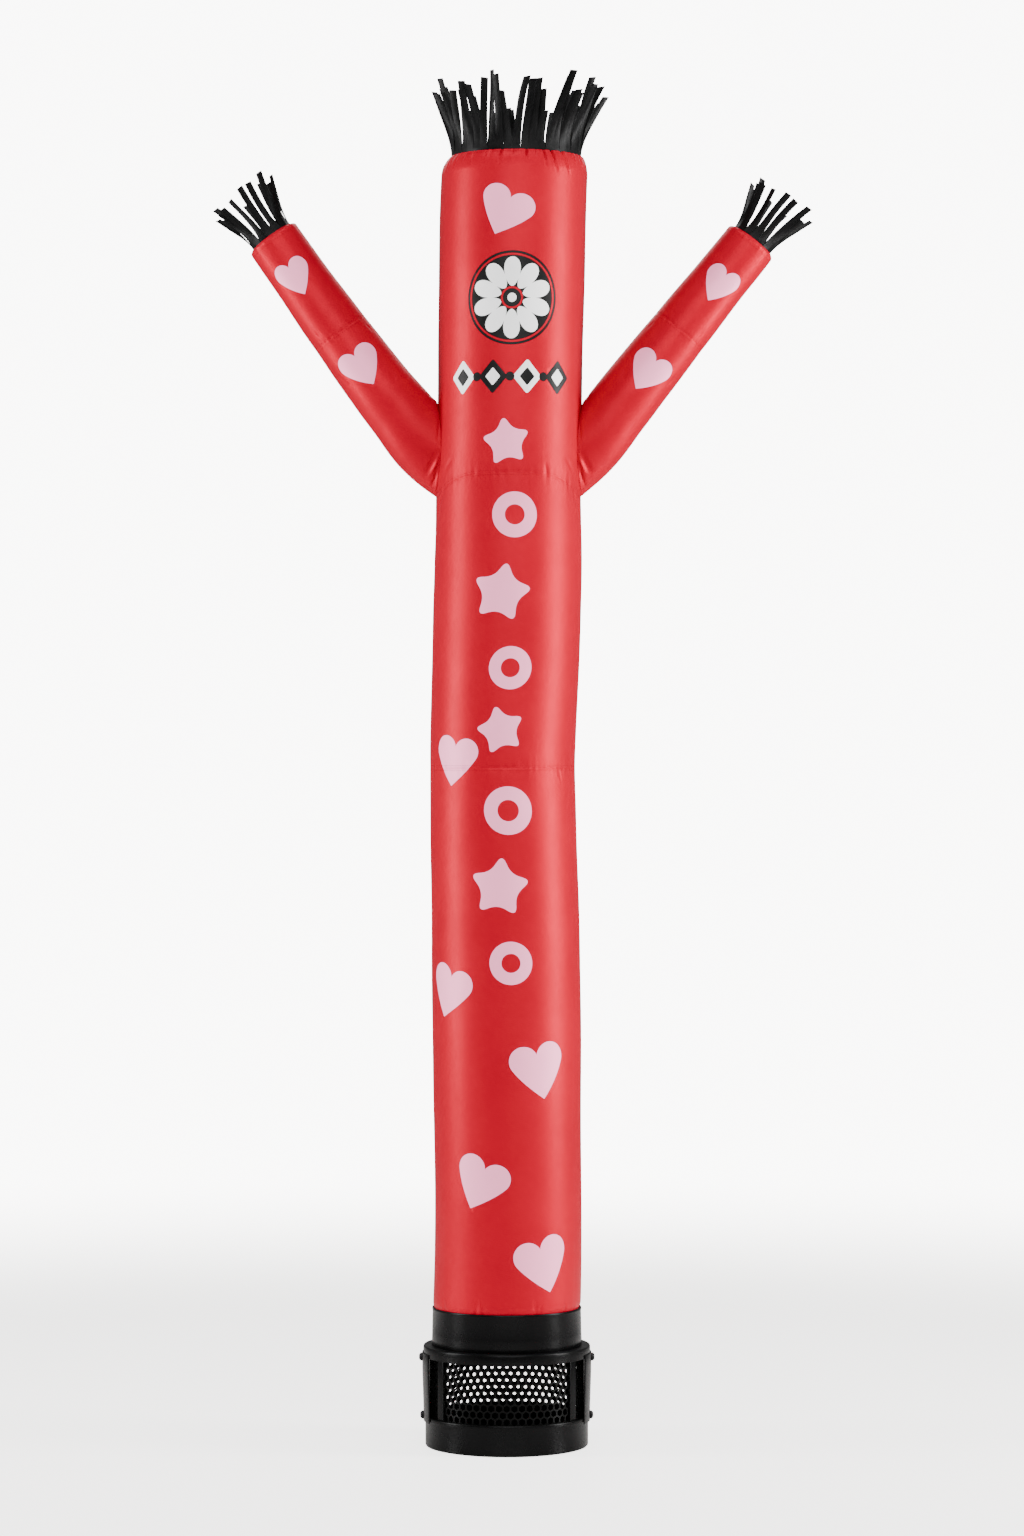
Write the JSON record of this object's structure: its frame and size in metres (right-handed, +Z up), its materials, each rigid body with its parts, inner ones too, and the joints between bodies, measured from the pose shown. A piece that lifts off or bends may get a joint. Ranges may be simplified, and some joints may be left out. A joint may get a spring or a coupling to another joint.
{
  "type": "inflatable air dancer standing on its fan housing",
  "caption": "Tall cloth tube with two raised arms and strip fringes, blown up from a round fan housing that it stands on.",
  "frame": {"origin": "centre of the fan housing's flat bottom, on the floor", "axes": "+Z up along the tube, the printed front faces -Y, the arms spread along X"},
  "size_m": [0.9316, 0.2632, 2.1183],
  "materials": {
    "red_nylon": "glossy coated nylon, a fine plain weave",
    "black_fringe": "satin black nylon strips",
    "black_housing": "satin black powder coat on sheet metal"
  },
  "bodies": {
    "root": {"arm_left_inner": "red_nylon", "arm_left_outer": "red_nylon", "arm_right_inner": "red_nylon", "arm_right_outer": "red_nylon", "crown": "red_nylon", "fan_bolt_left_high": "black_housing", "fan_bolt_left_low": "black_housing", "fan_bolt_right_high": "black_housing", "fan_bolt_right_low": "black_housing", "fan_bracket_left": "black_housing", "fan_bracket_right": "black_housing", "fan_drum": "black_housing", "fan_flange": "black_housing", "fan_grille": "black_housing", "fan_neck": "black_housing", "fan_post_1": "black_housing", "fan_post_2": "black_housing", "fan_post_3": "black_housing", "fan_post_4": "black_housing", "fringe_head": "black_fringe", "fringe_left_hand": "black_fringe", "fringe_right_hand": "black_fringe", "panel_head": "red_nylon", "panel_lower": "red_nylon", "panel_middle": "red_nylon"}
  },
  "joints": []
}
